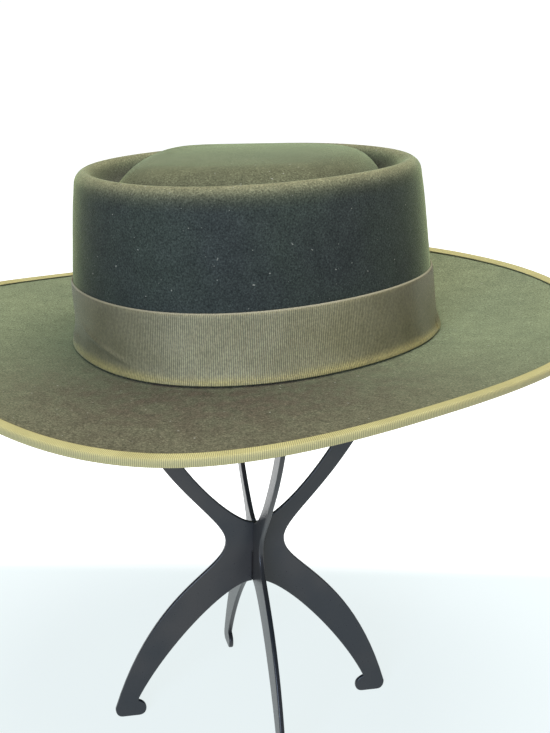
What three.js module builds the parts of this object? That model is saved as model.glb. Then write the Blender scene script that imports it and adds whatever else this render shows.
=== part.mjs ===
// A felt hat with a telescope crown, resting on a display stand of two interlocking plates.
// Millimetres, +Z up. The wearer's front faces -Y and the wearer's left is +X.
import * as THREE from 'three';
import { ParametricGeometry } from 'three/addons/geometries/ParametricGeometry.js';
import { mergeVertices } from 'three/addons/utils/BufferGeometryUtils.js';

// Oval of the hat: its half-length is this much more than its half-width, outside the groove.
const LONGER = 14.4;
// Share of a third wave in the oval: above zero it draws the sides to a soft point, below it squares them.
const CROWN_POINT = 0.014;
const DOME_POINT = -0.04;
// The oval is this share wider behind the middle of the hat than before it.
const CROWN_EGG = 0.05;
const BRIM_EGG = 0.06;
// The dome lies this far to the wearer's left of the crown's middle.
const DOME_SHIFT = 1.4;

// Felt wall.
const FELT_THICK = 2;
const FELT_EDGE_THICK = 1.5;

// Upper face of the felt in the plane of the short axis, from the middle of the crown to the brim's edge:
// half is the half-width, z the height over the lower edge of the ribbon, before the brim is lifted.
const FELT_ROWS = [
  { at: 'dome_middle', half: 0, z: 87 },
  { at: 'dome_plateau', half: 35, z: 86.8 },
  { at: 'dome_shoulder', half: 48, z: 85.2 },
  { at: 'dome_edge', half: 54.2, z: 82.4 },
  { at: 'dome_wall', half: 60.4, z: 76.6 },
  { at: 'groove_floor', half: 66.4, z: 68.4 },
  { at: 'groove_wall', half: 70.8, z: 73 },
  { at: 'rim_inner', half: 74.6, z: 79.9 },
  { at: 'rim_ridge', half: 78.6, z: 82.3 },
  { at: 'rim_outer', half: 82.9, z: 79.4 },
  { at: 'side_high', half: 84.5, z: 71.5 },
  { at: 'side_middle', half: 87.5, z: 36 },
  { at: 'side_low', half: 90, z: 3 },
  { at: 'brim_break', half: 91.6, z: -1.5 },
  { at: 'brim_root', half: 96.5, z: -2.2 },
  { at: 'brim_middle', half: 130, z: -2.2 },
  { at: 'brim_edge', half: 167.2, z: -2.2 },
];
const feltRow = (at) => FELT_ROWS.find((row) => row.at === at);
const DOME_MIDDLE = feltRow('dome_middle');
const DOME_EDGE = feltRow('dome_edge');
const GROOVE = feltRow('groove_floor');
const RIM = feltRow('rim_ridge');
const BRIM_ROOT = feltRow('brim_root');
const BRIM_EDGE = feltRow('brim_edge');

// How far the brim's edge is turned up, round the hat by eighths, from the wearer's left.
const BRIM_LIFTS = [
  { at: 'left', lift: 3.9 },
  { at: 'back_left', lift: 10.9 },
  { at: 'back', lift: 14.2 },
  { at: 'back_right', lift: 6.9 },
  { at: 'right', lift: 14.4 },
  { at: 'front_right', lift: 4.2 },
  { at: 'front', lift: -5.7 },
  { at: 'front_left', lift: 2.1 },
];
// The lift grows with this power of the way from the brim's root to its edge.
const BRIM_CURVE = 1.25;

// Ribbon round the crown: the half-width of its inner face, from its hem to its top edge.
const RIBBON_THICK = 0.8;
const RIBBON_ROWS = [
  { at: 'top', half: 88.2, z: 30.2 },
  { at: 'middle', half: 89.4, z: 15.5 },
  { at: 'flare', half: 90.3, z: 4 },
  { at: 'hem', half: 91.1, z: 0 },
];

// Folded ribbon that binds the brim's edge.
const BINDING_THICK = 0.8;
const BINDING_COVER = 5;
const BINDING_ROUND = 0.9;

// Clear gap between pieces that touch on the real hat and stand, and under the dome where the hat rests.
const GAP = 0.3;
const SEAT_GAP = 0.4;

// Place and lean of the hat on the stand.
const HAT_PLACE = new THREE.Vector3(-2.2, -0.9, 212.9);
const HAT_LEAN_BACK = 1.3;
const HAT_LEAN_RIGHT = 3.3;

// Stand plates: all half-widths are measured from the stand's axis.
const PLATE_THICK = 2.5;
const PLATE_TURN = 24.7;
const WAIST = { half: 15.7, z: 97.4 };
const HEAD = { half: 75.6, z: 232, arm: 9 };
const FOOT = { outer: 74.2, ankle: 5, heel: 71, sole: 62, toe: 57.2, toeZ: 5, notch: 61.5, notchZ: 10 };
// Top of the arch between the legs and bottom of the loop's hollow, each with the width of its round.
const ARCH = { z: 73.7, round: 15.5 };
const VEE = { z: 107.4, round: 12.5 };
// Points that draw the plates' curves: instep and inside of a leg, its outside, and both sides of an arm.
const INSTEP = { half: 60.5, z: 7 };
const SHIN = { half: 49, z: 37 };
const CALF = { half: 54, z: 76, waistZ: 80 };
const ARM_OUTER = { waistZ: 114.5, headZ: 142.5 };
const ARM_INNER = { headZ: 158.5 };

// Steps round the hat, between two section rows, and along each curve of a plate.
const AROUND = 60;
const ROW_STEPS = 2;
const CURVE_STEPS = 12;
// Share of the radius at which a cubic's handles draw a quarter of an ellipse.
const QUARTER = 0.5523;
// Points of a surface that are nearer than this are one point.
const WELD = 1e-4;

// Colour and roughness of each material.
const FELT = { color: 0x4b4f3e, roughness: 0.95 };
const RIBBON = { color: 0x6b6854, roughness: 0.8 };
const BINDING = { color: 0x8d8452, roughness: 0.8 };
const PLASTIC = { color: 0x17181a, roughness: 0.4 };

// Closes the seams of a gridded surface and drops the triangles that its poles collapse.
function sealed(grid) {
  grid.deleteAttribute('normal');
  grid.deleteAttribute('uv');
  const welded = mergeVertices(grid, WELD);
  const corners = welded.index.array;
  const kept = [];
  for (let i = 0; i < corners.length; i += 3) {
    const [a, b, c] = [corners[i], corners[i + 1], corners[i + 2]];
    if (a !== b && b !== c && c !== a) kept.push(a, b, c);
  }
  welded.setIndex(kept);
  welded.computeVertexNormals();
  return welded;
}

// Height that the turned-up brim adds at a turn (in circles from the wearer's left), smooth through the rows.
function edgeLift(turn) {
  const count = BRIM_LIFTS.length;
  const place = turn * count;
  const first = Math.floor(place);
  const part = place - first;
  const [p0, p1, p2, p3] = [-1, 0, 1, 2].map((step) => BRIM_LIFTS[(first + step + count) % count].lift);
  const slope1 = (p2 - p0) / 2;
  const slope2 = (p3 - p1) / 2;
  const square = part * part;
  const cube = square * part;
  return p1 * (2 * cube - 3 * square + 1) + slope1 * (cube - 2 * square + part)
    + p2 * (3 * square - 2 * cube) + slope2 * (cube - square);
}

// Carries a point of the section plane (half-width, height) round the hat's oval.
function roundHat(half, z, turn, target) {
  const angle = 2 * Math.PI * turn;
  const long = half > GROOVE.half ? half + LONGER : half * (1 + LONGER / GROOVE.half);
  const brim = Math.max(0, (half - BRIM_ROOT.half) / (BRIM_EDGE.half - BRIM_ROOT.half));
  const egg = 1 + THREE.MathUtils.lerp(CROWN_EGG, BRIM_EGG, brim) * Math.sin(angle);
  const outward = THREE.MathUtils.smoothstep(half, DOME_EDGE.half, RIM.half);
  const point = THREE.MathUtils.lerp(DOME_POINT, CROWN_POINT, outward);
  const across = (Math.cos(angle) + point * Math.cos(3 * angle)) / (1 + point);
  const along = (Math.sin(angle) - point * Math.sin(3 * angle)) / (1 + point);
  const x = half * across * egg + DOME_SHIFT * (1 - outward);
  return target.set(x, long * along, z + edgeLift(turn) * brim ** BRIM_CURVE);
}

// The felt's section, down the upper face to the brim's edge and back under it, one wall apart.
function feltLoop() {
  const rows = FELT_ROWS.map((row) => new THREE.Vector3(row.half, row.z, 0));
  const face = new THREE.CatmullRomCurve3(rows, false, 'centripetal');
  const steps = (rows.length - 1) * ROW_STEPS;
  const upper = [];
  const under = [];
  for (let i = 0; i <= steps; i++) {
    const point = face.getPoint(i / steps);
    const way = face.getTangent(i / steps);
    const out = THREE.MathUtils.smoothstep(point.x, BRIM_ROOT.half, BRIM_EDGE.half);
    const wall = THREE.MathUtils.lerp(FELT_THICK, FELT_EDGE_THICK, out);
    const onAxis = i === 0;
    upper.push({ half: point.x, z: point.y });
    under.push({ half: onAxis ? 0 : point.x + way.y * wall, z: point.y - (onAxis ? wall : way.x * wall) });
  }
  return [...upper, ...under.reverse()];
}

// The ribbon's section: its outer face downwards, then its inner face back up.
function ribbonLoop() {
  const outer = RIBBON_ROWS.map((row) => ({ half: row.half + RIBBON_THICK, z: row.z }));
  const inner = RIBBON_ROWS.map((row) => ({ half: row.half, z: row.z })).reverse();
  return [...outer, ...inner, outer[0]];
}

// The binding's section: a U over the brim's edge, its outer face first.
function bindingLoop() {
  const top = BRIM_EDGE.z + GAP;
  const bottom = BRIM_EDGE.z - FELT_EDGE_THICK - GAP;
  const end = BRIM_EDGE.half + GAP;
  const start = BRIM_EDGE.half - BINDING_COVER;
  const outer = { top: top + BINDING_THICK, bottom: bottom - BINDING_THICK, end: end + BINDING_THICK };
  return [
    { half: start, z: outer.top },
    { half: outer.end - BINDING_ROUND, z: outer.top },
    { half: outer.end, z: outer.top - BINDING_ROUND },
    { half: outer.end, z: outer.bottom + BINDING_ROUND },
    { half: outer.end - BINDING_ROUND, z: outer.bottom },
    { half: start, z: outer.bottom },
    { half: start, z: bottom },
    { half: end, z: bottom },
    { half: end, z: top },
    { half: start, z: top },
    { half: start, z: outer.top },
  ];
}

// Sweeps a section's corners round the hat into a closed body.
function swept(corners) {
  const last = corners.length - 1;
  const surface = (u, v, target) => {
    const place = u * last;
    const first = Math.min(Math.floor(place), last - 1);
    const part = place - first;
    const half = THREE.MathUtils.lerp(corners[first].half, corners[first + 1].half, part);
    const z = THREE.MathUtils.lerp(corners[first].z, corners[first + 1].z, part);
    return roundHat(half, z, v, target);
  };
  return sealed(new ParametricGeometry(surface, last, AROUND));
}

// Right half of a path and its mirror image, as one closed row of points.
function mirrored(path) {
  const right = path.getPoints(CURVE_STEPS);
  const left = right.map((point) => new THREE.Vector2(-point.x, point.y)).reverse();
  return [...right, ...left];
}

// Flat outline of one plate: two legs, a waist and a loop shaped like a head.
// Half-lap slots let the two plates cross at the waist and at the top, cut from below or from above.
function plateOutline(apex, slotsFromBelow) {
  const slot = PLATE_THICK / 2 + GAP;
  const clear = (slotsFromBelow ? GAP : -GAP) / 2;
  const waistLap = (ARCH.z + VEE.z) / 2 + clear;
  const crownLap = apex - HEAD.arm / 2 + clear;
  const inner = { half: HEAD.half - HEAD.arm, apex: apex - HEAD.arm };

  const edge = new THREE.Path();
  edge.moveTo(slot, slotsFromBelow ? waistLap : ARCH.z);
  if (slotsFromBelow) edge.lineTo(slot, ARCH.z);
  edge.bezierCurveTo(ARCH.round, ARCH.z, SHIN.half, SHIN.z, FOOT.notch, FOOT.notchZ);
  edge.quadraticCurveTo(INSTEP.half, INSTEP.z, FOOT.toe, FOOT.toeZ);
  edge.quadraticCurveTo(FOOT.toe, 0, FOOT.sole, 0);
  edge.lineTo(FOOT.heel, 0);
  edge.quadraticCurveTo(FOOT.outer, 0, FOOT.outer, FOOT.ankle);
  edge.bezierCurveTo(CALF.half, CALF.z, WAIST.half, CALF.waistZ, WAIST.half, WAIST.z);
  edge.bezierCurveTo(WAIST.half, ARM_OUTER.waistZ, HEAD.half, ARM_OUTER.headZ, HEAD.half, HEAD.z);
  const rise = apex - HEAD.z;
  const handleZ = HEAD.z + QUARTER * rise;
  edge.bezierCurveTo(HEAD.half, handleZ, QUARTER * HEAD.half, apex, slot, apex);
  if (!slotsFromBelow) edge.lineTo(slot, crownLap);

  const loop = new THREE.Path();
  loop.moveTo(slot, slotsFromBelow ? VEE.z : waistLap);
  if (!slotsFromBelow) loop.lineTo(slot, VEE.z);
  loop.bezierCurveTo(VEE.round, VEE.z, inner.half, ARM_INNER.headZ, inner.half, HEAD.z);
  const innerRise = inner.apex - HEAD.z;
  const innerHandleZ = HEAD.z + QUARTER * innerRise;
  loop.bezierCurveTo(inner.half, innerHandleZ, QUARTER * inner.half, inner.apex, slot, inner.apex);
  if (slotsFromBelow) loop.lineTo(slot, crownLap);

  const outline = new THREE.Shape(mirrored(edge));
  outline.holes.push(new THREE.Path(mirrored(loop)));
  return outline;
}

// One plate, upright through the stand's axis and turned about it.
function standPlate(apex, slotsFromBelow, turnDegrees) {
  const plate = new THREE.ExtrudeGeometry(plateOutline(apex, slotsFromBelow), {
    depth: PLATE_THICK,
    bevelEnabled: false,
  });
  plate.translate(0, 0, -PLATE_THICK / 2);
  plate.rotateX(Math.PI / 2);
  plate.rotateZ(THREE.MathUtils.degToRad(turnDegrees));
  return plate;
}

// Height at which the stand's axis meets the under face of the crown's dome.
function seatHeight(hat) {
  const under = new THREE.Vector3(0, 0, DOME_MIDDLE.z - FELT_THICK).applyEuler(hat.rotation).add(hat.position);
  const up = new THREE.Vector3(0, 0, 1);
  const face = new THREE.Plane().setFromNormalAndCoplanarPoint(up.clone().applyEuler(hat.rotation), under);
  return new THREE.Ray(new THREE.Vector3(), up).intersectPlane(face, new THREE.Vector3()).z;
}

function piece(name, geometry, look) {
  const mesh = new THREE.Mesh(geometry, new THREE.MeshStandardMaterial({ ...look, metalness: 0 }));
  mesh.name = name;
  return mesh;
}

const hat = new THREE.Group();
hat.add(piece('felt_body', swept(feltLoop()), FELT));
hat.add(piece('hat_band', swept(ribbonLoop()), RIBBON));
hat.add(piece('brim_binding', swept(bindingLoop()), BINDING));
hat.position.copy(HAT_PLACE);
hat.rotation.set(
  THREE.MathUtils.degToRad(-HAT_LEAN_BACK),
  THREE.MathUtils.degToRad(-HAT_LEAN_RIGHT),
  0,
);

const apex = seatHeight(hat) - SEAT_GAP;
const stand = new THREE.Group();
stand.add(piece('stand_plate_over', standPlate(apex, true, PLATE_TURN), PLASTIC));
stand.add(piece('stand_plate_under', standPlate(apex, false, PLATE_TURN + 90), PLASTIC));

// The origin is under the middle of the whole object, on the surface that the feet stand on.
const assembly = new THREE.Group();
assembly.add(hat, stand);
const box = new THREE.Box3().setFromObject(assembly, true);
const middle = box.getCenter(new THREE.Vector3());
assembly.position.set(-middle.x, -middle.y, -box.min.z);

export default assembly;
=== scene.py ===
# %% [markdown]
# # A felt hat on a display stand
# This lesson dresses the packed CAD model of a hat and the stand that holds it. The frame, the sizes and
# the places come from that model. The fine surfaces, the materials, the light and the camera are made
# here. Everything is in metres with +Z up, and the wearer's front of the hat faces -Y.

# %% Setup
import math

import bmesh
import bpy
import numpy as np
from mathutils import Matrix, Vector


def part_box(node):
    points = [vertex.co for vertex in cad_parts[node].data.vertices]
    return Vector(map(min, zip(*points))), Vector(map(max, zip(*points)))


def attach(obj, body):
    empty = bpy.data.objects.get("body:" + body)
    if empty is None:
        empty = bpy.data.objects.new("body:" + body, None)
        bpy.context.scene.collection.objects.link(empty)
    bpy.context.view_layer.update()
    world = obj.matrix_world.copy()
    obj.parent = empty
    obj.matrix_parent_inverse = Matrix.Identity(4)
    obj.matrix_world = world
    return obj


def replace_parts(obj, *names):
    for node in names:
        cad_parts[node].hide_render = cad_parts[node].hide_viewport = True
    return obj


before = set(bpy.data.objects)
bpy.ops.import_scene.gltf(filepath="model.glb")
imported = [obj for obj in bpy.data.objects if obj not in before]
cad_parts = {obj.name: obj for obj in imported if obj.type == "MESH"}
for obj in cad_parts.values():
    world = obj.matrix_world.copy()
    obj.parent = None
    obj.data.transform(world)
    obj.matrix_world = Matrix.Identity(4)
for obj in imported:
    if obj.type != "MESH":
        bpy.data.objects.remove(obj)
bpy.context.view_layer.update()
scene = bpy.context.scene
MM = 0.001
print("CAD nodes:", sorted(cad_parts))

# %% [markdown]
# ## Where the stand and the hat are
# The two plates of the stand cross on an upright axis, so the middle of their common box is that axis.
# The hat sits a little off the axis and leans back and to the wearer's right, as a hat that was dropped
# on a stand does. Each point could be worked out in place, but a hat is easier to draw upright. So it
# gets a frame of its own, in millimetres, and one function moves its points. The CAD model uses the same
# lean and the same place.

# %% Stand axis and hat frame
HAT_FROM_AXIS = -2.2, -0.9, 212.9
LEAN_BACK, LEAN_RIGHT = math.radians(1.3), math.radians(3.3)

plate_boxes = np.array([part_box(name) for name in ("stand_plate_over", "stand_plate_under")])
AXIS = (plate_boxes[:, 0].min(0) + plate_boxes[:, 1].max(0)) / 2 * [1, 1, 0]
HAT_PLACE = AXIS + np.array(HAT_FROM_AXIS) * MM
HAT_TURN = np.array(Matrix.Rotation(-LEAN_BACK, 3, "X") @ Matrix.Rotation(-LEAN_RIGHT, 3, "Y"))
print("stand axis (mm):", np.round(AXIS / MM, 2), "hat at", np.round(HAT_PLACE / MM, 2))


def in_row_frame(points):
    """Points of the hat's own frame (mm), turned, moved and scaled into the shared frame (m)."""
    return points * MM @ HAT_TURN.T + HAT_PLACE


# %% [markdown]
# ## Camera
# The camera's place, direction and focal length were fitted to the photograph's outlines. A camera can be
# aimed with a constraint, but three angles also give its roll. They make the picture's right, down and
# forward directions, which are the columns of the camera's matrix. The picture is 550 by 733 pixels, so
# the focal length in pixels becomes a lens in millimetres on the sensor's long side.

# %% Camera
PICTURE_LONG_SIDE = 733
FOCAL_PIXELS = 1308.7
SENSOR = 36.0
PAN, TILT, ROLL = (math.radians(degrees) for degrees in (-11.21, 16.92, -1.008))
CAMERA_FROM_AXIS = 0.132, -0.6193, 0.3849
NEAREST = 0.01

forward = Vector((math.sin(PAN) * math.cos(TILT), math.cos(PAN) * math.cos(TILT), -math.sin(TILT)))
level = Vector((math.cos(PAN), -math.sin(PAN), 0))
below_level = forward.cross(level)
right = level * math.cos(ROLL) + below_level * math.sin(ROLL)
down = below_level * math.cos(ROLL) - level * math.sin(ROLL)
lens = bpy.data.cameras.new("camera")
lens.sensor_width = SENSOR
lens.lens = FOCAL_PIXELS / PICTURE_LONG_SIDE * SENSOR
lens.clip_start = NEAREST
camera = bpy.data.objects.new("camera", lens)
camera.matrix_world = Matrix((right, -down, -forward)).transposed().to_4x4()
camera.location = Vector(AXIS) + Vector(CAMERA_FROM_AXIS)
scene.collection.objects.link(camera)
scene.camera = camera
print("lens", round(lens.lens, 2), "mm, camera at", [round(c, 4) for c in camera.location])

# %% [markdown]
# ## Surfaces from grids
# Felt, ribbon and binding are each one section carried round the hat. Blender's Screw modifier turns a
# section round an axis too, but only on a circle. A grid can follow an oval: it has one row for each
# point of the section and one column for each step round the hat. The columns close on themselves. The
# rows close too, as on a ring, or end in single points on the hat's axis.

# %% Grids


def closed_grid(points, across, poles):
    """Vertices, corner numbers (faces, 4) and UV values (faces, 4, 2) of a grid of points (rows, columns, 3).

    The columns join round the hat. With poles the first and last rows are one vertex each, otherwise the
    last row joins the first. U is the way round, 0 to 1 by length along the longest row. V is `across`, which
    has a value for each row.
    """
    rows, columns = points.shape[:2]
    number = np.arange(rows * columns).reshape(rows, columns)
    if poles:
        number[0], number[-1] = number[0, 0], number[-1, 0]
    row = np.arange(rows - 1 if poles else rows)[:, None]
    column = np.arange(columns)[None, :]
    after, beyond = (row + 1) % rows, (column + 1) % columns
    around = (row, column), (after, column), (after, beyond), (row, beyond)
    corners = np.stack([number[place] for place in around], -1)
    steps = np.linalg.norm(np.roll(points, -1, 1) - points, axis=2)
    longest = steps[steps.sum(1).argmax()]
    way = np.concatenate([[0], np.cumsum(longest)]) / longest.sum()
    height = np.append(across, across[0])
    u = np.stack([way[column], way[column], way[column + 1], way[column + 1]], -1)
    v = np.stack([height[row], height[row + 1], height[row + 1], height[row]], -1)
    uv = np.stack(np.broadcast_arrays(u, v), -1)
    used, corners = np.unique(corners, return_inverse=True)
    return points.reshape(-1, 3)[used], corners.reshape(-1, 4), uv.reshape(-1, 4, 2)


def facing_out(vertices, corners, uv):
    """Corners and UV values, turned over if a negative volume says that the faces look inwards."""
    a, b, c, d = (vertices[corners[:, k]] for k in range(4))
    volume = np.einsum("ij,ij->", a, np.cross(b, c) + np.cross(c, d))
    return (corners, uv) if volume > 0 else (corners[:, ::-1], uv[:, ::-1])


# %% [markdown]
# ## From a grid to an object
# The arrays go into the mesh all at once with foreach_set, which is far quicker than adding faces one by
# one. At a pole two corners of a quad fall together, so one of them is dropped and the face is a
# triangle. The object stays at the origin, because its place is already in the points.

# %% Grid objects


def grid_object(name, points, across, poles=False):
    """A smooth closed object from a grid, with a UV map, that rides on the part's one body."""
    vertices, corners, uv = closed_grid(points, across, poles)
    corners, uv = facing_out(vertices, corners, uv)
    keep = corners != np.roll(corners, 1, 1)
    sizes = keep.sum(1)
    mesh = bpy.data.meshes.new(name)
    mesh.vertices.add(len(vertices))
    mesh.vertices.foreach_set("co", vertices.astype(np.float32).ravel())
    mesh.loops.add(int(sizes.sum()))
    mesh.loops.foreach_set("vertex_index", corners[keep].astype(np.int32))
    mesh.polygons.add(len(corners))
    mesh.polygons.foreach_set("loop_start", (np.cumsum(sizes) - sizes).astype(np.int32))
    mesh.polygons.foreach_set("use_smooth", np.ones(len(corners), bool))
    layer = mesh.uv_layers.new(name="round_and_across")
    layer.data.foreach_set("uv", uv[keep].astype(np.float32).ravel())
    mesh.update(calc_edges=True)
    mesh.validate()
    made = bpy.data.objects.new(name, mesh)
    scene.collection.objects.link(made)
    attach(made, "root")
    print(name, "faces:", len(corners), "box (mm):", np.round(np.ptp(vertices, axis=0) / MM, 1))
    return made


# %% [markdown]
# ## The hat's section
# A hatter presses wet felt over a wooden form. One table gives the felt's upper face over that form, in
# the plane of the hat's short axis: from the middle of the crown's dome, down into the groove, up over
# the rim, down the side and out to the brim's edge. Each row is a half-width and a height in millimetres.
# Arcs could join the rows, but a smooth curve through them needs no radii, and it keeps the rim and the
# groove as round as felt is.

# %% Section
FELT_ROWS = {
    "dome_middle": (0, 87),
    "dome_plateau": (34, 86.7),
    "dome_shoulder": (48, 85.2),
    "dome_edge": (54.2, 82.4),
    "dome_wall": (60.4, 76.6),
    "groove_floor": (66.4, 68.4),
    "groove_wall": (70.8, 73),
    "rim_inner": (74.6, 79.9),
    "rim_ridge": (78.6, 82.3),
    "rim_outer": (82.9, 79.4),
    "side_high": (84.5, 71.5),
    "side_middle": (87.5, 36),
    "side_low": (90, 3),
    "brim_break": (91.6, -0.9),
    "brim_root": (96.5, -1.5),
    "brim_middle": (130, -2.1),
    "brim_edge": (167.2, -2.2),
}
HALF = {name: row[0] for name, row in FELT_ROWS.items()}


def cubic(part, start, leave, end, arrive):
    """A cubic from start to end for a part of 0 to 1, that leaves and arrives with the given slopes."""
    share = 2 * part**3 - 3 * part**2 + 1
    slopes = (part**3 - 2 * part**2 + part) * leave + (part**3 - part**2) * arrive
    return share * start + (1 - share) * end + slopes


def curve_through(rows, steps):
    """A smooth curve through the rows, with a cubic between each two.

    A cubic's slopes come from the rows beside it, weighed by the square roots of the distances between them.
    """
    rows = np.array(rows, float)
    rows = np.vstack([2 * rows[0] - rows[1], rows, 2 * rows[-1] - rows[-2]])
    gap = np.sqrt(np.linalg.norm(np.diff(rows, axis=0), axis=1))[:, None]
    slope = np.diff(rows, axis=0) / gap
    chord = (rows[2:] - rows[:-2]) / (gap[:-1] + gap[1:])
    tangent = slope[:-1] - chord + slope[1:]
    leave, arrive = tangent[:-1] * gap[1:-1], tangent[1:] * gap[1:-1]
    part = (np.arange(steps) / steps)[None, :, None]
    curve = cubic(part, rows[1:-2, None], leave[:, None], rows[2:-1, None], arrive[:, None])
    return np.vstack([curve.reshape(-1, rows.shape[1]), rows[-2]])


print("section of", len(FELT_ROWS), "rows, crown", FELT_ROWS["dome_middle"][1], "mm high")

# %% [markdown]
# ## The hat's oval
# A head is longer than wide and a little wider behind, so a circle that is scaled would look wrong. The
# oval here is an ellipse with two changes: a little of the third wave makes its sides flatter or fuller,
# and its width grows towards the back like an egg's. The brim is turned up by a height given at each
# eighth of a turn.

# %% Oval
# Half-length less half-width, then the third wave's share and the egg's share on two parts of the hat.
LONGER = 14.4
CROWN_POINT, DOME_POINT = 0.014, -0.04
CROWN_EGG, BRIM_EGG = 0.05, 0.06
# The dome lies this far to the wearer's left of the crown's middle.
DOME_SHIFT = 1.4
# Turned-up height of the brim's edge by eighths of a turn, from the wearer's left towards the back.
BRIM_LIFTS = np.array([3.9, 10.9, 14.2, 6.9, 14.4, 3.3, -5.7, 2.1])
BRIM_CURVE = 1.25


def smooth(value, low, high):
    """0 below low, 1 above high, and an S-shaped rise between them."""
    part = np.clip((value - low) / (high - low), 0, 1)
    return part * part * (3 - 2 * part)


def edge_lift(turn):
    """Height that the turned-up brim adds at a turn: a closed curve of cubics through the eight lifts."""
    place = turn * len(BRIM_LIFTS)
    first = np.floor(place).astype(int)
    before, start, end, after = (BRIM_LIFTS[(first + k) % len(BRIM_LIFTS)] for k in (-1, 0, 1, 2))
    return cubic(place - first, start, (end - before) / 2, end, (after - start) / 2)


def round_hat(half, z, turn):
    """Carries section points (half-width, height) round the hat's oval to turns given in circles.

    Across is the half-width times the oval's cosine and the egg's share, and along is the half-length times
    its sine. The brim's lift grows with a power of the way from the brim's root to its edge.
    """
    half, z = np.broadcast_arrays(half, z)
    angle = 2 * np.pi * turn
    groove, root, edge = HALF["groove_floor"], HALF["brim_root"], HALF["brim_edge"]
    half_length = np.where(half > groove, half + LONGER, half * (1 + LONGER / groove))
    brim = np.clip((half - root) / (edge - root), 0, None)
    egg = 1 + (CROWN_EGG + (BRIM_EGG - CROWN_EGG) * brim) * np.sin(angle)
    outward = smooth(half, HALF["dome_edge"], HALF["rim_ridge"])
    point = DOME_POINT + (CROWN_POINT - DOME_POINT) * outward
    across = (np.cos(angle) + point * np.cos(3 * angle)) / (1 + point)
    along = (np.sin(angle) - point * np.sin(3 * angle)) / (1 + point)
    x = half * across * egg + DOME_SHIFT * (1 - outward)
    return np.stack([x, half_length * along, z + edge_lift(turn) * brim**BRIM_CURVE], -1)


def turns(columns):
    """The turns of a grid's columns, as one row."""
    return np.arange(columns)[None, :] / columns


foot = round_hat(HALF["side_low"], FELT_ROWS["side_low"][1], turns(360))[0]
print("foot of the crown (mm):", np.round(np.ptp(foot[:, :2], axis=0), 1))

# %% [markdown]
# ## What the hand does to the felt
# Felt is never as even as a formula. On this hat the foot of the crown is pressed in at the wearer's
# right, and the dome's shoulder is a little fuller behind it. Sculpting could give both, but a script
# repeats exactly: the press is a product of S-shaped fades and the fuller shoulder is a bell curve in two
# directions.

# %% Press and shoulder
PRESS_DEEP = 2.4
# Turns where the press begins, is full, ebbs and ends.
PRESS_TURNS = 0.38, 0.5, 0.6, 0.715
PRESS_HEIGHTS = 6, 36
PRESS_ON_BRIM = 20
SHOULDER_FULL = 1.7
# A pair is the middle and the reach of a bell curve.
SHOULDER_HALF, SHOULDER_TURN = (48, 8), (0.43, 0.1)


def side_press(half, z, turn):
    """How far the foot of the crown is pressed in, in millimetres.

    The press is full low at the wearer's right. It fades round the hat, up the crown and out along the brim.
    """
    begin, full, ebb, end = PRESS_TURNS
    beside = smooth(turn, begin, full) * (1 - smooth(turn, ebb, end))
    low = 1 - smooth(z, *PRESS_HEIGHTS)
    near = 1 - smooth(half, HALF["brim_root"], HALF["brim_root"] + PRESS_ON_BRIM)
    return PRESS_DEEP * beside * low * near


def bell(value, middle, reach):
    """A bell curve: 1 at the middle, and about a third one reach away from it."""
    return np.exp(-(((value - middle) / reach) ** 2))


def fuller_shoulder(half, turn):
    """How far the dome's shoulder stands up, in millimetres: a bell curve across it times one round it."""
    return SHOULDER_FULL * bell(half, *SHOULDER_HALF) * bell(turn, *SHOULDER_TURN)


print("foot pressed in by", PRESS_DEEP, "mm, shoulder fuller by", SHOULDER_FULL, "mm")

# %% [markdown]
# ## Felt body
# Crown and brim are one piece of fur felt about 2 mm thick. A Solidify modifier could give a single sheet
# its thickness. Here the under face is a second run of the same section, one wall below, so the felt can
# thin out towards the brim's edge, and both faces meet there inside the binding.

# %% Felt body
FELT_THICK, FELT_EDGE_THICK = 2.0, 1.5
FELT_COLUMNS = 320
UPPER_STEPS, UNDER_STEPS = 8, 4


def way_along(section):
    """Length along a section from its first point to each point, in metres."""
    return np.concatenate([[0], np.cumsum(np.linalg.norm(np.diff(section, axis=0), axis=1))]) * MM


upper = curve_through(list(FELT_ROWS.values()), UPPER_STEPS)
under = curve_through(list(FELT_ROWS.values()), UNDER_STEPS)
along_under = np.gradient(under, axis=0)
along_under /= np.linalg.norm(along_under, axis=1, keepdims=True)
inward = np.stack([along_under[:, 1], -along_under[:, 0]], 1)
thinning = smooth(under[:, 0], HALF["brim_root"], HALF["brim_edge"])
under += inward * (FELT_THICK + (FELT_EDGE_THICK - FELT_THICK) * thinning)[:, None]
under[0] = 0, FELT_ROWS["dome_middle"][1] - FELT_THICK
section = np.vstack([upper, under[::-1]])
half, z, turn = section[:, :1], section[:, 1:], turns(FELT_COLUMNS)
points = round_hat(half - side_press(half, z, turn), z + fuller_shoulder(half, turn), turn)
felt_way = way_along(section)
felt = grid_object("felt_hat", in_row_frame(points), felt_way, poles=True)
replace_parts(felt, "felt_body")

# %% [markdown]
# ## Ribbon round the crown
# Grosgrain is a ribbon with ribs across its width, so on the hat the ribs stand upright. The ribbon is
# one strip round the foot of the crown, with a slightly thicker woven edge above and below. A cloth
# simulation could wrap it, but the few places where it stands off the felt are known from the photograph.
# They are a slanted crease and two low humps at the sides, so they are written as formulas that move the
# strip outwards.

# %% How the ribbon lies
CREASE_TURN, CREASE_Z, CREASE_FALL = 0.6165, 11.8, 98
CREASE_TURNS = 0.59, 0.612, 0.66, 0.69
RIDGE, RIDGE_REACH = 0.8, 1.2
LEAN, LEAN_REACH = 0.25, 6
RIGHT_HUMP, RIGHT_HUMP_TURN, RIGHT_HUMP_Z = 1.5, (0.572, 0.018), (5, 3)
LEFT_HUMP, LEFT_HUMP_TURN, LEFT_HUMP_Z = 0.8, (0.012, 0.03), (2.5, 3)


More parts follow.
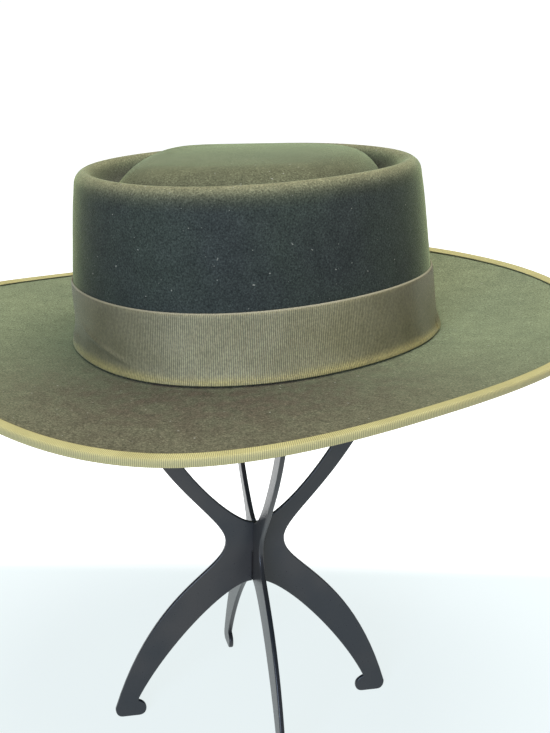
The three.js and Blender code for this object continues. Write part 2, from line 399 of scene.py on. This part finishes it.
def ribbon_ease(z, turn):
    """How far the ribbon stands off the crown, in millimetres.

    A crease near the wearer's right is a low ridge along a slanted line, and below it the ribbon leans out.
    Two low humps, bell curves in both directions, are where the hem springs out at the sides.
    """
    begin, full, ebb, end = CREASE_TURNS
    beside = smooth(turn, begin, full) * (1 - smooth(turn, ebb, end))
    crease_z = CREASE_Z - (turn - CREASE_TURN) * CREASE_FALL
    ridge = RIDGE * beside * bell(z, crease_z, RIDGE_REACH)
    lean = LEAN * beside * smooth(crease_z - z, 0, LEAN_REACH)
    right_hump = RIGHT_HUMP * bell(turn, *RIGHT_HUMP_TURN) * bell(z, *RIGHT_HUMP_Z)
    left_hump = LEFT_HUMP * bell(turn, *LEFT_HUMP_TURN) * bell(z, *LEFT_HUMP_Z)
    return ridge + lean + right_hump + left_hump


ease = ribbon_ease(np.arange(30)[:, None], turns(360))
print("ribbon stands off the crown by at most", round(ease.max(), 2), "mm")

# %% [markdown]
# ## The ribbon's strip
# The section is the ribbon's inner face, a curve that flares over the bend between crown and brim, and an
# outer face one thickness away. A thin bead along each edge is the woven selvedge, and the top edge
# tapers against the felt. A flat strip with a Solidify modifier would have none of these.

# %% Ribbon
RIBBON_ROWS = [(88.2, 30.2), (89.3, 15.5), (90.0, 6), (90.6, 2.6), (91.7, -0.4)]
RIBBON_THICK = 0.8
RIBBON_COLUMNS, RIBBON_STEPS = 720, 12
TAPER, TAPER_HEIGHTS = 0.6, (29.2, 30.2)
BEAD, TOP_BEAD_Z, HEM_BEAD_Z = 0.12, (29.7, 0.4), (0.7, 0.6)

inner = curve_through(RIBBON_ROWS, RIBBON_STEPS)
height = inner[:, 1]
outer = inner.copy()
outer[:, 0] += RIBBON_THICK * (1 - TAPER * smooth(height, *TAPER_HEIGHTS))
outer[:, 0] += BEAD * (bell(height, *TOP_BEAD_Z) + bell(height, *HEM_BEAD_Z))
section = np.vstack([outer, inner[::-1]])
half, z, turn = section[:, :1], section[:, 1:], turns(RIBBON_COLUMNS)
points = round_hat(half + ribbon_ease(z, turn) - side_press(half, z, turn), z, turn)
ribbon = grid_object("ribbon_band", in_row_frame(points), section[:, 1] * MM)
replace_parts(ribbon, "hat_band")

# %% [markdown]
# ## Binding of the brim
# A narrower ribbon of the same kind is folded over the brim's edge and sewn through, so its ribs run
# across the edge. A bevelled curve would make a round cord there. The section here is a U that hugs the
# felt on both faces, with a rounded nose, carried round by the same oval as the brim so that it follows
# every rise and dip.

# %% Binding
BINDING_THICK, BINDING_COVER, GAP = 0.8, 4.5, 0.3
BINDING_COLUMNS, NOSE_STEPS, RUN_STEPS = 720, 13, 8
NOSE_REACH = 1.1

brim_end, brim_z = FELT_ROWS["brim_edge"]
top, bottom = brim_z + GAP, brim_z - FELT_EDGE_THICK - GAP
end, start = brim_end + GAP, brim_end - BINDING_COVER
half_height = (top - bottom) / 2 + BINDING_THICK
middle_z = (top + bottom) / 2
bend = np.linspace(np.pi / 2, -np.pi / 2, NOSE_STEPS)
nose_out = end + BINDING_THICK - NOSE_REACH + NOSE_REACH * np.cos(bend)
nose = np.stack([nose_out, middle_z + half_height * np.sin(bend)], 1)
run = np.linspace(start, nose[0, 0], RUN_STEPS + 1)[:-1]
upper_run = np.stack([run, np.full(RUN_STEPS, middle_z + half_height)], 1)
lower_run = np.stack([run[::-1], np.full(RUN_STEPS, middle_z - half_height)], 1)
inside = np.array([[start, bottom], [end, bottom], [end, top], [start, top]])
section = np.vstack([upper_run, nose, lower_run, inside])
points = round_hat(section[:, :1], section[:, 1:], turns(BINDING_COLUMNS))
binding = grid_object("brim_edge_binding", in_row_frame(points), way_along(section))
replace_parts(binding, "brim_binding")

# %% [markdown]
# ## Outline of a stand plate
# The stand is two flat moulded plates pushed together at a right angle by slots at the waist and at the
# top. Each has two legs with small turned-in feet, a narrow waist and a loop the shape of a head. Boolean
# cuts could shape a block, but an outline is nearer to how such a plate is designed: cubic curves from
# point to point, for the right half only and then mirrored.

# %% Plate outline
PLATE_THICK, SLOT_CLEAR = 2.5, 0.05
# A point is its distance from the stand's axis and its height, in millimetres.
WAIST, HEAD, ARM = (15.7, 97.4), (75.6, 232.0), 9.0
ARCH_Z, VEE_Z = 73.7, 107.4
ANKLE, TOE, HEEL = (62.8, 9.4), (58.4, 4.2), (74.9, 5)
SOLE_START, SOLE_END = (62.5, 0), (71, 0)
# Handle of a cubic that draws a quarter of an ellipse, as a share of the half-axis.
QUARTER = 0.5523
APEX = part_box("stand_plate_over")[1].z / MM


def bezier(start, handle_a, handle_b, end, steps):
    """Points of a cubic from start to end with two handles, without its last point."""
    part = (np.arange(steps) / steps)[:, None]
    a, b, c, d = (np.array(p, float) for p in (start, handle_a, handle_b, end))
    return (1 - part) ** 3 * a + 3 * (1 - part) ** 2 * part * b + 3 * (1 - part) * part**2 * c + part**3 * d


def both_sides(right_half):
    """A right-hand path and its mirror image, as one closed row of points."""
    path = np.vstack(right_half)
    return np.vstack([path, path[::-1] * [-1, 1]])


def plate_paths(slots_from_below):
    """Outline of a plate and of the hollow in its loop, with the half-lap slots where the plates cross."""
    slot = PLATE_THICK / 2 + SLOT_CLEAR
    clear = SLOT_CLEAR / 2 if slots_from_below else -SLOT_CLEAR / 2
    waist_lap = [(slot, (ARCH_Z + VEE_Z) / 2 + clear)]
    crown_lap = [(slot, APEX - ARM / 2 + clear)]
    no_lap = np.zeros((0, 2))
    inside, top = HEAD[0] - ARM, APEX - ARM
    head_rise, hollow_rise = QUARTER * (APEX - HEAD[1]), QUARTER * (top - HEAD[1])
    outline = [
        waist_lap if slots_from_below else no_lap,
        bezier((slot, ARCH_Z), (15.5, ARCH_Z), (49.2, 37), ANKLE, 24),
        bezier(ANKLE, (61.2, 8.5), (58.4, 7.4), TOE, 10),
        bezier(TOE, (58.4, 1.7), (59.9, 0), SOLE_START, 8),
        bezier(SOLE_START, (65, 0), (68, 0), SOLE_END, 3),
        bezier(SOLE_END, (73.5, 0), (75, 1.9), HEEL, 8),
        bezier(HEEL, (53.4, 75.5), (WAIST[0], 80), WAIST, 24),
        bezier(WAIST, (WAIST[0], 114.5), (HEAD[0], 142.5), HEAD, 28),
        bezier(HEAD, (HEAD[0], HEAD[1] + head_rise), (QUARTER * HEAD[0], APEX), (slot, APEX), 20),
        [(slot, APEX)],
        no_lap if slots_from_below else crown_lap,
    ]
    hollow = [
        no_lap if slots_from_below else waist_lap,
        bezier((slot, VEE_Z), (12.5, VEE_Z), (inside, 158.5), (inside, HEAD[1]), 28),
        bezier((inside, HEAD[1]), (inside, HEAD[1] + hollow_rise), (QUARTER * inside, top), (slot, top), 20),
        [(slot, top)],
        crown_lap if slots_from_below else no_lap,
    ]
    return both_sides(outline), both_sides(hollow)


print("loops reach", round(APEX, 1), "mm, outline of", len(plate_paths(True)[0]), "points")

# %% [markdown]
# ## A plate lying flat
# A flat moulded plate could be a face that is extruded and bevelled. A filled 2D curve does it in one
# step: the outline and the hollow are its splines, the extrusion gives the thickness and the curve's own
# bevel rounds the edges as a mould does.

# %% Flat plate
EDGE_ROUND, EDGE_STEPS = 0.7, 3


def plate_mesh(name, slots_from_below):
    """A plate lying flat: a filled curve, thickened and rounded, turned into a mesh."""
    flat = bpy.data.curves.new(name, "CURVE")
    flat.dimensions = "2D"
    flat.fill_mode = "BOTH"
    flat.extrude = (PLATE_THICK / 2 - EDGE_ROUND) * MM
    flat.bevel_depth = EDGE_ROUND * MM
    flat.bevel_resolution = EDGE_STEPS
    flat.offset = -EDGE_ROUND * MM
    for path in plate_paths(slots_from_below):
        spline = flat.splines.new("POLY")
        spline.points.add(len(path) - 1)
        spots = np.column_stack([path * MM, np.zeros(len(path)), np.ones(len(path))])
        spline.points.foreach_set("co", spots.ravel())
        spline.use_cyclic_u = True
    drawn = bpy.data.objects.new(name + "_curve", flat)
    scene.collection.objects.link(drawn)
    mesh = bpy.data.meshes.new_from_object(drawn.evaluated_get(bpy.context.evaluated_depsgraph_get()))
    bpy.data.objects.remove(drawn)
    mesh.name = name
    print(name, "is", round(2 * HEEL[0], 1), "mm over its feet, edges rounded by", EDGE_ROUND, "mm")
    return mesh


# %% [markdown]
# ## Standing the plates up
# The two plates cross at a right angle, turned a little from the hat's own axes. An object could be
# turned and moved, but then a pattern on Object coordinates would turn with it, so the place goes into
# the mesh and the object stays at the origin. Under the hat the loops lean to the wearer's right by about
# a millimetre.

# %% Stand plates
PLATE_TURN, RIGHT_ANGLE = 24.7, 90
LOOP_LEAN, LEAN_RISE = 0.9, 45
MERGE_DISTANCE = 1e-6


def lean_loops(mesh):
    """Moves the points above the waist to the wearer's right, by an S-shaped share of the lean."""
    spots = np.empty(len(mesh.vertices) * 3, np.float32)
    mesh.vertices.foreach_get("co", spots)
    spots[0::3] -= LOOP_LEAN * MM * smooth(spots[2::3] / MM, WAIST[1], WAIST[1] + LEAN_RISE)
    mesh.vertices.foreach_set("co", spots)


def stand_plate(name, slots_from_below, degrees):
    """A plate stood up through the stand's axis at an angle, with its seams merged and its faces outwards."""
    mesh = plate_mesh(name, slots_from_below)
    upright = Matrix.Rotation(math.radians(degrees), 4, "Z") @ Matrix.Rotation(math.pi / 2, 4, "X")
    mesh.transform(Matrix.Translation(AXIS) @ upright)
    lean_loops(mesh)
    solid = bmesh.new()
    solid.from_mesh(mesh)
    bmesh.ops.remove_doubles(solid, verts=solid.verts, dist=MERGE_DISTANCE)
    bmesh.ops.recalc_face_normals(solid, faces=solid.faces)
    solid.to_mesh(mesh)
    solid.free()
    mesh.shade_smooth()
    made = bpy.data.objects.new(name, mesh)
    scene.collection.objects.link(made)
    weighted = made.modifiers.new("flat_faces", "WEIGHTED_NORMAL")
    weighted.keep_sharp = True
    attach(made, "root")
    print(name, "faces:", len(mesh.polygons))
    return made


plate_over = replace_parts(stand_plate("plate_over", True, PLATE_TURN), "stand_plate_over")
plate_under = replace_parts(stand_plate("plate_under", False, PLATE_TURN + RIGHT_ANGLE), "stand_plate_under")

# %% [markdown]
# ## A small language for materials
# A material is a graph of nodes, which can be drawn by hand in the shader editor. In a script a small
# class reads better: it wraps an output socket, so that sums and products of sockets are ordinary
# arithmetic. One function makes any node from its type, its settings and its inputs.

# %% Sockets with arithmetic


def shader_node(tree, kind, settings, inputs, output=0):
    """Adds a node, applies its settings first, then its socket values or links, and returns one output."""
    node = tree.nodes.new(kind)
    for key, value in settings.items():
        setattr(node, key, value)
    for key, value in inputs.items():
        if isinstance(value, Socket):
            tree.links.new(value.output, node.inputs[key])
        else:
            node.inputs[key].default_value = value
    return Socket(tree, node.outputs[output])


class Socket:
    """An output socket of a node. Arithmetic on it adds Math nodes to the same material."""

    def __init__(self, tree, output):
        self.tree, self.output = tree, output

    def math(self, operation, *operands):
        """A Math node that does this operation on the operands."""
        return shader_node(self.tree, "ShaderNodeMath", {"operation": operation}, dict(enumerate(operands)))

    def __add__(self, other):
        return self.math("ADD", self, other)

    def __sub__(self, other):
        return self.math("SUBTRACT", self, other)

    def __rsub__(self, other):
        return self.math("SUBTRACT", other, self)

    def __mul__(self, other):
        return self.math("MULTIPLY", self, other)

    __radd__, __rmul__ = __add__, __mul__

    def wave(self):
        """A sine wave of this angle, from 0 to 1."""
        return self.math("SINE", self) * 0.5 + 0.5

    def between(self, low, high):
        """0 at low and 1 at high, with an S-shaped change between them. Low may be the larger value."""
        settings = {"interpolation_type": "SMOOTHSTEP"}
        limits = {"Value": self, "From Min": low, "From Max": high}
        return shader_node(self.tree, "ShaderNodeMapRange", settings, limits)

    def mix(self, a, b):
        """Colour a where this socket is 0 and colour b where it is 1."""
        return shader_node(self.tree, "ShaderNodeMix", {"data_type": "RGBA"}, {0: self, 6: a, 7: b}, output=2)

    def scaled(self, share):
        """This colour, darker for a share under 1 and brighter for one over 1."""
        settings = {"operation": "SCALE"}
        return shader_node(self.tree, "ShaderNodeVectorMath", settings, {0: self, "Scale": share})

    def parts(self, count):
        """The first few parts of this vector, each as a socket."""
        split = {"Vector": self}
        return [shader_node(self.tree, "ShaderNodeSeparateXYZ", {}, split, output=k) for k in range(count)]


print("reflected operators:", [name for name in vars(Socket) if name.startswith("__r")])

# %% [markdown]
# ## What every finish shares
# Each finish is a Principled shader. A value that is the same all over a piece could reach it through a
# node, but an export drops some of those links, so constants are set on the shader's own sockets and only
# what varies is linked. Colours are written as a screen shows them, in hexadecimal, and turned into
# linear light.

# %% Shared nodes


def color(hex_value):
    """A linear colour from a hexadecimal sRGB colour."""
    s = np.array([hex_value >> 16 & 255, hex_value >> 8 & 255, hex_value & 255]) / 255
    return (*np.where(s <= 0.04045, s / 12.92, ((s + 0.055) / 1.055) ** 2.4), 1.0)


def socket_name(word):
    """The shader's own name of a socket, from a Python name."""
    return word.replace("_", " ").title().replace("Ior", "IOR")


def material(name, **constants):
    """A material with a bare Principled shader, whose constant sockets are set directly."""
    made = bpy.data.materials.new(name)
    made.use_nodes = True
    shader = made.node_tree.nodes["Principled BSDF"]
    for word, value in constants.items():
        shader.inputs[socket_name(word)].default_value = value
    return made, made.node_tree, shader


def link(tree, shader, **sockets):
    """Links sockets to the shader's inputs of those names."""
    for word, value in sockets.items():
        tree.links.new(value.output, shader.inputs[socket_name(word)])


def finish_piece(piece, look):
    """Gives a piece its material and prints how large the material is."""
    piece.data.materials.append(look)
    print(piece.name, "has", look.name, "with", len(look.node_tree.nodes), "nodes")


print("mid grey in linear light:", round(float(color(0x808080)[0]), 3))

# %% [markdown]
# ## Felt: the crown's tones
# Fur felt is matted hair. On this crown the groove and the side carry painted shade, the rim a painted
# highlight and the back of the dome a painted sheen. Separate materials would meet in hard lines, so one
# material fades from tone to tone. It reads two kinds of place: Object coordinates, in metres, for clouds
# of tone and the painted sheen towards the back, and the UV map's way out from the dome's middle, where
# the section's rows lie at known lengths.

# %% Felt on the crown
DOME_DARK, DOME_LIGHT, DOME_BACK_SHEEN = color(0x565743), color(0x5C5D47), color(0x747C5E)
GROOVE_SHADE, RIM_HIGHLIGHT = color(0x4A4B41), color(0x76745A)
SIDE_SHADE_DARK, SIDE_SHADE_LIGHT = color(0x373B38), color(0x3B413A)
CLOUD_CELLS = 22
BACK_SHEEN_STARTS, BACK_SHEEN_FULL = -30 * MM, 70 * MM
RIM_FADE = 3 * MM


def object_place(tree):
    """Object coordinates, in metres in the shared frame."""
    return shader_node(tree, "ShaderNodeTexCoord", {}, {}, output="Object")


def round_and_across(tree):
    """The two UV values of a grid surface: the way round the hat and the way across the strip."""
    return shader_node(tree, "ShaderNodeUVMap", {"uv_map": "round_and_across"}, {}).parts(2)


def noise(where, cells, detail=2.0, roughness=0.5):
    """Fractal noise of that many cells to the metre."""
    inputs = {"Vector": where, "Scale": cells, "Detail": detail, "Roughness": roughness}
    return shader_node(where.tree, "ShaderNodeTexNoise", {}, inputs)


felt_look, tree, shader = material(
    "olive_felt",
    roughness=0.95,
    specular_ior_level=0.12,
    sheen_weight=0.6,
    sheen_roughness=0.26,
    sheen_tint=color(0xCEDCA4),
)
where = object_place(tree)
x, y = where.parts(2)
_, out = round_and_across(tree)
mark = {name: felt_way[k * UPPER_STEPS] for k, name in enumerate(FELT_ROWS)}
clouds = noise(where, CLOUD_CELLS, 3.0).between(0.35, 0.68)
tone = clouds.mix(DOME_DARK, DOME_LIGHT)
# Painted sheen: the dome turns paler and greener towards the back.
tone = y.between(BACK_SHEEN_STARTS, BACK_SHEEN_FULL).mix(tone, DOME_BACK_SHEEN)
into_groove = out.between(mark["dome_edge"], mark["groove_floor"])
in_groove = into_groove * out.between(mark["rim_ridge"], mark["groove_wall"])
tone = in_groove.mix(tone, GROOVE_SHADE)
onto_rim = out.between(mark["rim_inner"] - RIM_FADE, mark["rim_ridge"])
rim_highlight_mask = onto_rim * out.between(mark["side_high"] - RIM_FADE, mark["rim_ridge"])
# Painted highlight along the rim's top.
tone = rim_highlight_mask.mix(tone, RIM_HIGHLIGHT)
# Painted shade: the crown's side is darker and bluer than the dome, all round.
side_shade_mask = out.between(mark["rim_ridge"] + 1.5 * MM, mark["side_high"] + 0.5 * MM)
crown_tone = side_shade_mask.mix(tone, clouds.mix(SIDE_SHADE_DARK, SIDE_SHADE_LIGHT))
print("way out to the rim (mm):", round(mark["rim_ridge"] / MM, 1))

# %% [markdown]
# ## Felt: the brim's tones
# The brim's sides and back are a paler green of painted sheen. Towards the front it carries painted
# shade, darker and browner and deepest near the crown, and a coarser grain. A painted mask could give
# that, but Object coordinates are enough: the painted shade grows towards -Y, less so at the sides.

# %% Felt on the brim
BRIM_SHEEN_DARK, BRIM_SHEEN_LIGHT = color(0x6B7259), color(0x71785D)
FRONT_SHADE_OUTER, FRONT_SHADE_GREEN, FRONT_SHADE_BROWN = color(0x5B5846), color(0x484739), color(0x4A4137)
FRONT_X, FRONT_NARROW, FRONT_WIDE = 15 * MM, 30 * MM, 130 * MM
FRONT_SHADE_STARTS, FRONT_SHADE_FULL = 10 * MM, -125 * MM
PATCH_CELLS, PILE_CELLS = 120, 480

patches = noise(where, PATCH_CELLS).between(0.3, 0.7)
pile = noise(where, PILE_CELLS, 4.0, 0.75).between(0.3, 0.7)
from_front = x - FRONT_X
sideways = (from_front * from_front).between(FRONT_NARROW**2, FRONT_WIDE**2)
# Painted shade: the brim's front turns darker and browner, less so at the sides.
front_shade_mask = y.between(FRONT_SHADE_STARTS, FRONT_SHADE_FULL) * (1 - sideways * 0.5)
shade_by_crown = out.between(mark["brim_edge"] + 10 * MM, mark["brim_root"])
# Painted shade, deeper near the crown.
front_shade_tone = shade_by_crown.mix(FRONT_SHADE_OUTER, patches.mix(FRONT_SHADE_GREEN, FRONT_SHADE_BROWN))
front_shade_tone = pile.mix(front_shade_tone.scaled(0.72), front_shade_tone.scaled(1.32))
# The brim's sides and back keep a paler green of painted sheen.
brim_tone = front_shade_mask.mix(clouds.mix(BRIM_SHEEN_DARK, BRIM_SHEEN_LIGHT), front_shade_tone)
on_brim = out.between(mark["side_low"] - 4 * MM, mark["side_low"])
tone = on_brim.mix(crown_tone, brim_tone)
print("way out to the brim (mm):", round(mark["side_low"] / MM, 1))

# %% [markdown]
# ## Felt: hairs and lint
# Close by, felt shows lighter and darker hairs and a few pale specks of lint. A hair system would be
# heavy and would be lost in an export. Fine noise gives the same grain at this distance, in the colour
# and in the bump, which tilts the normal as a height would, and the shader's sheen gives the glow of a
# short nap at a grazing angle.

# %% Felt hairs
LINT_PALE = color(0x8C8C80)
HAIR_CELLS, LINT_CELLS = 1250, 560


def bump(height, strength, distance):
    """A bumped normal from a height of 0 to 1."""
    inputs = {"Height": height, "Strength": strength, "Distance": distance}
    return shader_node(height.tree, "ShaderNodeBump", {}, inputs)


hairs = noise(where, HAIR_CELLS, 3.0, 0.7)
tone = patches.mix(tone, tone.scaled(0.86))
tone = hairs.between(0.47, 0.8).mix(tone, tone.scaled(2.1))
tone = hairs.between(0.52, 0.24).mix(tone, tone.scaled(0.36))
lint = noise(where, LINT_CELLS, 1.0).between(0.765, 0.8)
tone = lint.mix(tone, LINT_PALE)
link(tree, shader, base_color=tone, normal=bump(hairs, 0.3, 0.5 * MM))
finish_piece(felt, felt_look)

# %% [markdown]
# ## Grosgrain of the ribbon
# A grosgrain rib is a thick weft thread under many fine warp threads. Modelled ribs would take about a
# million faces, so they are a wave in the bump that also paints shade into the valleys. The UV map
# measures the way round the hat, and a whole number of ribs closes without a seam. A little noise in the
# wave's phase makes the ribs uneven, as threads are. The flared hem has a painted yellow highlight, and
# the band has painted shade near its top and towards the wearer's left and right.

# %% Ribbon material
RIBBON_RIBS = 640
TAUPE_DARK, TAUPE_LIGHT, SELVEDGE = color(0xA29971), color(0xACA37B), color(0x958D73)
HEM_LIT_DARK, HEM_LIT_LIGHT = color(0xA79B68), color(0xB2A56A)
RIB_WOBBLE, WOBBLE_CELLS, SLUB_CELLS, THREAD_CELLS = 3.0, 420, 75, 800
# A pair is where a fade starts and where it is full.
RIGHT_END_SHADE, LEFT_END_SHADE = (5 * MM, -60 * MM), (50 * MM, 85 * MM)
TOP_SHADE, HEM_LIT_FADE, SELVEDGE_FADE = (8 * MM, 30 * MM), (5 * MM, 0.0), (29.4 * MM, 29.8 * MM)

ribbon_look, tree, shader = material(
    "taupe_ribbon",
    roughness=0.52,
    specular_ior_level=0.5,
    sheen_weight=0.7,
    sheen_roughness=0.08,
    sheen_tint=color(0xD4D8B8),
)
where = object_place(tree)
(x,) = where.parts(1)
way, height = round_and_across(tree)
ribs = (way * (RIBBON_RIBS * 2 * math.pi) + noise(where, WOBBLE_CELLS) * RIB_WOBBLE).wave()
slub = noise(where, SLUB_CELLS).between(0.3, 0.7)
threads = noise(where, THREAD_CELLS, 3.0, 0.7).between(0.3, 0.7)
tone = slub.mix(TAUPE_DARK, TAUPE_LIGHT)
# Painted shade that deepens towards the wearer's left and right.
ends = x.between(*RIGHT_END_SHADE) + x.between(*LEFT_END_SHADE)
tone = ends.mix(tone, tone.scaled(0.56))
tone = height.between(*TOP_SHADE).mix(tone, tone.scaled(0.84))
# Painted highlight: the flared hem is yellower and a little paler, as if in top light.
tone = height.between(*HEM_LIT_FADE).mix(tone, slub.mix(HEM_LIT_DARK, HEM_LIT_LIGHT))
# Painted shade in the rib valleys.
tone = ribs.between(0.0, 1.0).mix(tone.scaled(0.5), tone)
tone = threads.mix(tone.scaled(0.78), tone.scaled(1.2))
tone = height.between(*SELVEDGE_FADE).mix(tone, SELVEDGE)
link(tree, shader, base_color=tone, normal=bump(ribs, 0.7, 0.2 * MM))
finish_piece(ribbon, ribbon_look)

# %% [markdown]
# ## Grosgrain of the binding
# The binding is the same weave in a yellower khaki, with finer ribs across the brim's edge. It could
# share the ribbon's material, but its ribs are counted along the brim and its tones change over the fold.
# The way over the U says where the nose is, which has a painted highlight, and where the underside's
# painted shade begins. The ribs have painted shade in their valleys and a painted highlight on their
# crests.

# %% Binding material
BINDING_RIBS = 1360
KHAKI_DARK, KHAKI_LIGHT = color(0xAAA26E), color(0xB4AC76)
NOSE_HIGHLIGHT, UNDERSIDE_SHADE = color(0xB6AB78), color(0x6A6A52)
EDGE_WOBBLE, EDGE_WOBBLE_CELLS, KHAKI_CELLS = 1.6, 300, 60
NOSE_HIGHLIGHT_FADE, UNDER_SHADE_FADE = (4.5 * MM, 6.2 * MM), (8.2 * MM, 9.6 * MM)

binding_look, tree, shader = material(
    "khaki_binding",
    roughness=0.6,
    specular_ior_level=0.3,
    sheen_weight=0.1,
    sheen_roughness=0.4,
    sheen_tint=color(0xD8CD96),
)
where = object_place(tree)
way, over = round_and_across(tree)
ribs = (way * (BINDING_RIBS * 2 * math.pi) + noise(where, EDGE_WOBBLE_CELLS, 1.0) * EDGE_WOBBLE).wave()
tone = noise(where, KHAKI_CELLS).between(0.3, 0.7).mix(KHAKI_DARK, KHAKI_LIGHT)
# Painted highlight on the nose.
tone = over.between(*NOSE_HIGHLIGHT_FADE).mix(tone, NOSE_HIGHLIGHT)
# Painted shade on the underside.
tone = over.between(*UNDER_SHADE_FADE).mix(tone, UNDERSIDE_SHADE)
# Painted shade in the rib valleys and a painted highlight on the crests.
tone = ribs.between(0.0, 1.0).mix(tone.scaled(0.62), tone.scaled(1.12))
link(tree, shader, base_color=tone, normal=bump(ribs, 0.5, 0.2 * MM))
finish_piece(binding, binding_look)

# %% [markdown]
# ## Black plastic
# The stand is moulded in satin black plastic. One black would look like a hole in the picture, so the
# tone drifts slowly between a cool and a warm black, and a very fine grain in the roughness and the bump
# breaks up reflections.

# %% Plastic material
COOL_BLACK, WARM_BLACK = color(0x26292D), color(0x393635)
GRAIN_CELLS, DRIFT_CELLS = 900, 26

plastic_look, tree, shader = material("black_plastic", specular_ior_level=0.5)
where = object_place(tree)
grain = noise(where, GRAIN_CELLS)
tone = noise(where, DRIFT_CELLS).between(0.34, 0.66).mix(COOL_BLACK, WARM_BLACK)
link(tree, shader, base_color=tone, roughness=grain * 0.12 + 0.24, normal=bump(grain, 0.06, 0.1 * MM))
for plate in (plate_over, plate_under):
    finish_piece(plate, plastic_look)

# %% [markdown]
# ## Floor
# The stand's feet are on a pale, cool surface that ends behind it, and what lies beyond is so bright that
# the picture shows it white. A backdrop would cast light forwards and hide the hat in views from behind.
# So one large floor glows softly, and past a line square to the camera's direction it glows pure white.

# %% Floor
FLOOR_SIZE = 80.0
PALE_STARTS, PALE_ENDS = 0.155, 0.2
NEAR_GLOW, FAR_GLOW = (0.78, 0.85, 0.855, 1), (1, 1, 1, 1)

side = FLOOR_SIZE / 2
floor_mesh = bpy.data.meshes.new("floor")
floor_corners = [(-side, -side, 0), (side, -side, 0), (side, side, 0), (-side, side, 0)]
floor_mesh.from_pydata(floor_corners, [], [(0, 1, 2, 3)])
floor = bpy.data.objects.new("floor", floor_mesh)
scene.collection.objects.link(floor)
floor_look, tree, shader = material(
    "pale_floor",
    roughness=0.9,
    emission_strength=1.0,
    specular_ior_level=0.2,
)
x, y = object_place(tree).parts(2)
beyond = (y * math.cos(PAN) + x * math.sin(PAN)).between(PALE_STARTS, PALE_ENDS)
floor_tone = beyond.mix(color(0x64686B), color(0xC6CACC))
link(tree, shader, base_color=floor_tone, emission_color=beyond.mix(NEAR_GLOW, FAR_GLOW))
finish_piece(floor, floor_look)

# %% [markdown]
# ## Studio light
# In the photograph most of the light comes from above and behind, and the crown's front is nearly in
# shade. A round picture of a studio could light it, but two lamps are easier to steer: a wide soft one
# overhead, and a cool one, farther off on the camera's side, that keeps the front just readable. The sky
# is white where the camera sees it, in low views, but lights the hat only weakly: the Light Path node
# tells the camera's own rays from the others.

# %% Lights and sky
HAT_MIDDLE = 0, 0, 0.25
LAMP_SIZE = 1.0
SKY_LIGHT, SKY_SEEN = 0.05, 0.95


def soft_lamp(name, place, watts, tint):
    """A square area light that faces the hat."""
    data = bpy.data.lights.new(name, "AREA")
    data.size, data.energy, data.color = LAMP_SIZE, watts, tint
    lamp = bpy.data.objects.new(name, data)
    lamp.location = place
    lamp.rotation_euler = (Vector(HAT_MIDDLE) - Vector(place)).to_track_quat("-Z", "Y").to_euler()
    scene.collection.objects.link(lamp)
    print(name, "of", watts, "W at", place)


soft_lamp("overhead", (0.1, 0.0, 1.5), 29, (1, 0.98, 0.92))
soft_lamp("front_fill", (-0.1, -2.0, 0.75), 34, (0.6, 0.74, 1))
world = bpy.data.worlds.new("studio")
world.use_nodes = True
background = world.node_tree.nodes["Background"]
background.inputs["Color"].default_value = (0.86, 0.95, 1, 1)
seen = shader_node(world.node_tree, "ShaderNodeLightPath", {}, {}, output="Is Camera Ray")
link(world.node_tree, background, strength=seen * SKY_SEEN + SKY_LIGHT)
scene.world = world
scene.view_settings.view_transform = "Standard"
scene.view_settings.look = "None"
scene.view_settings.exposure = 0.0
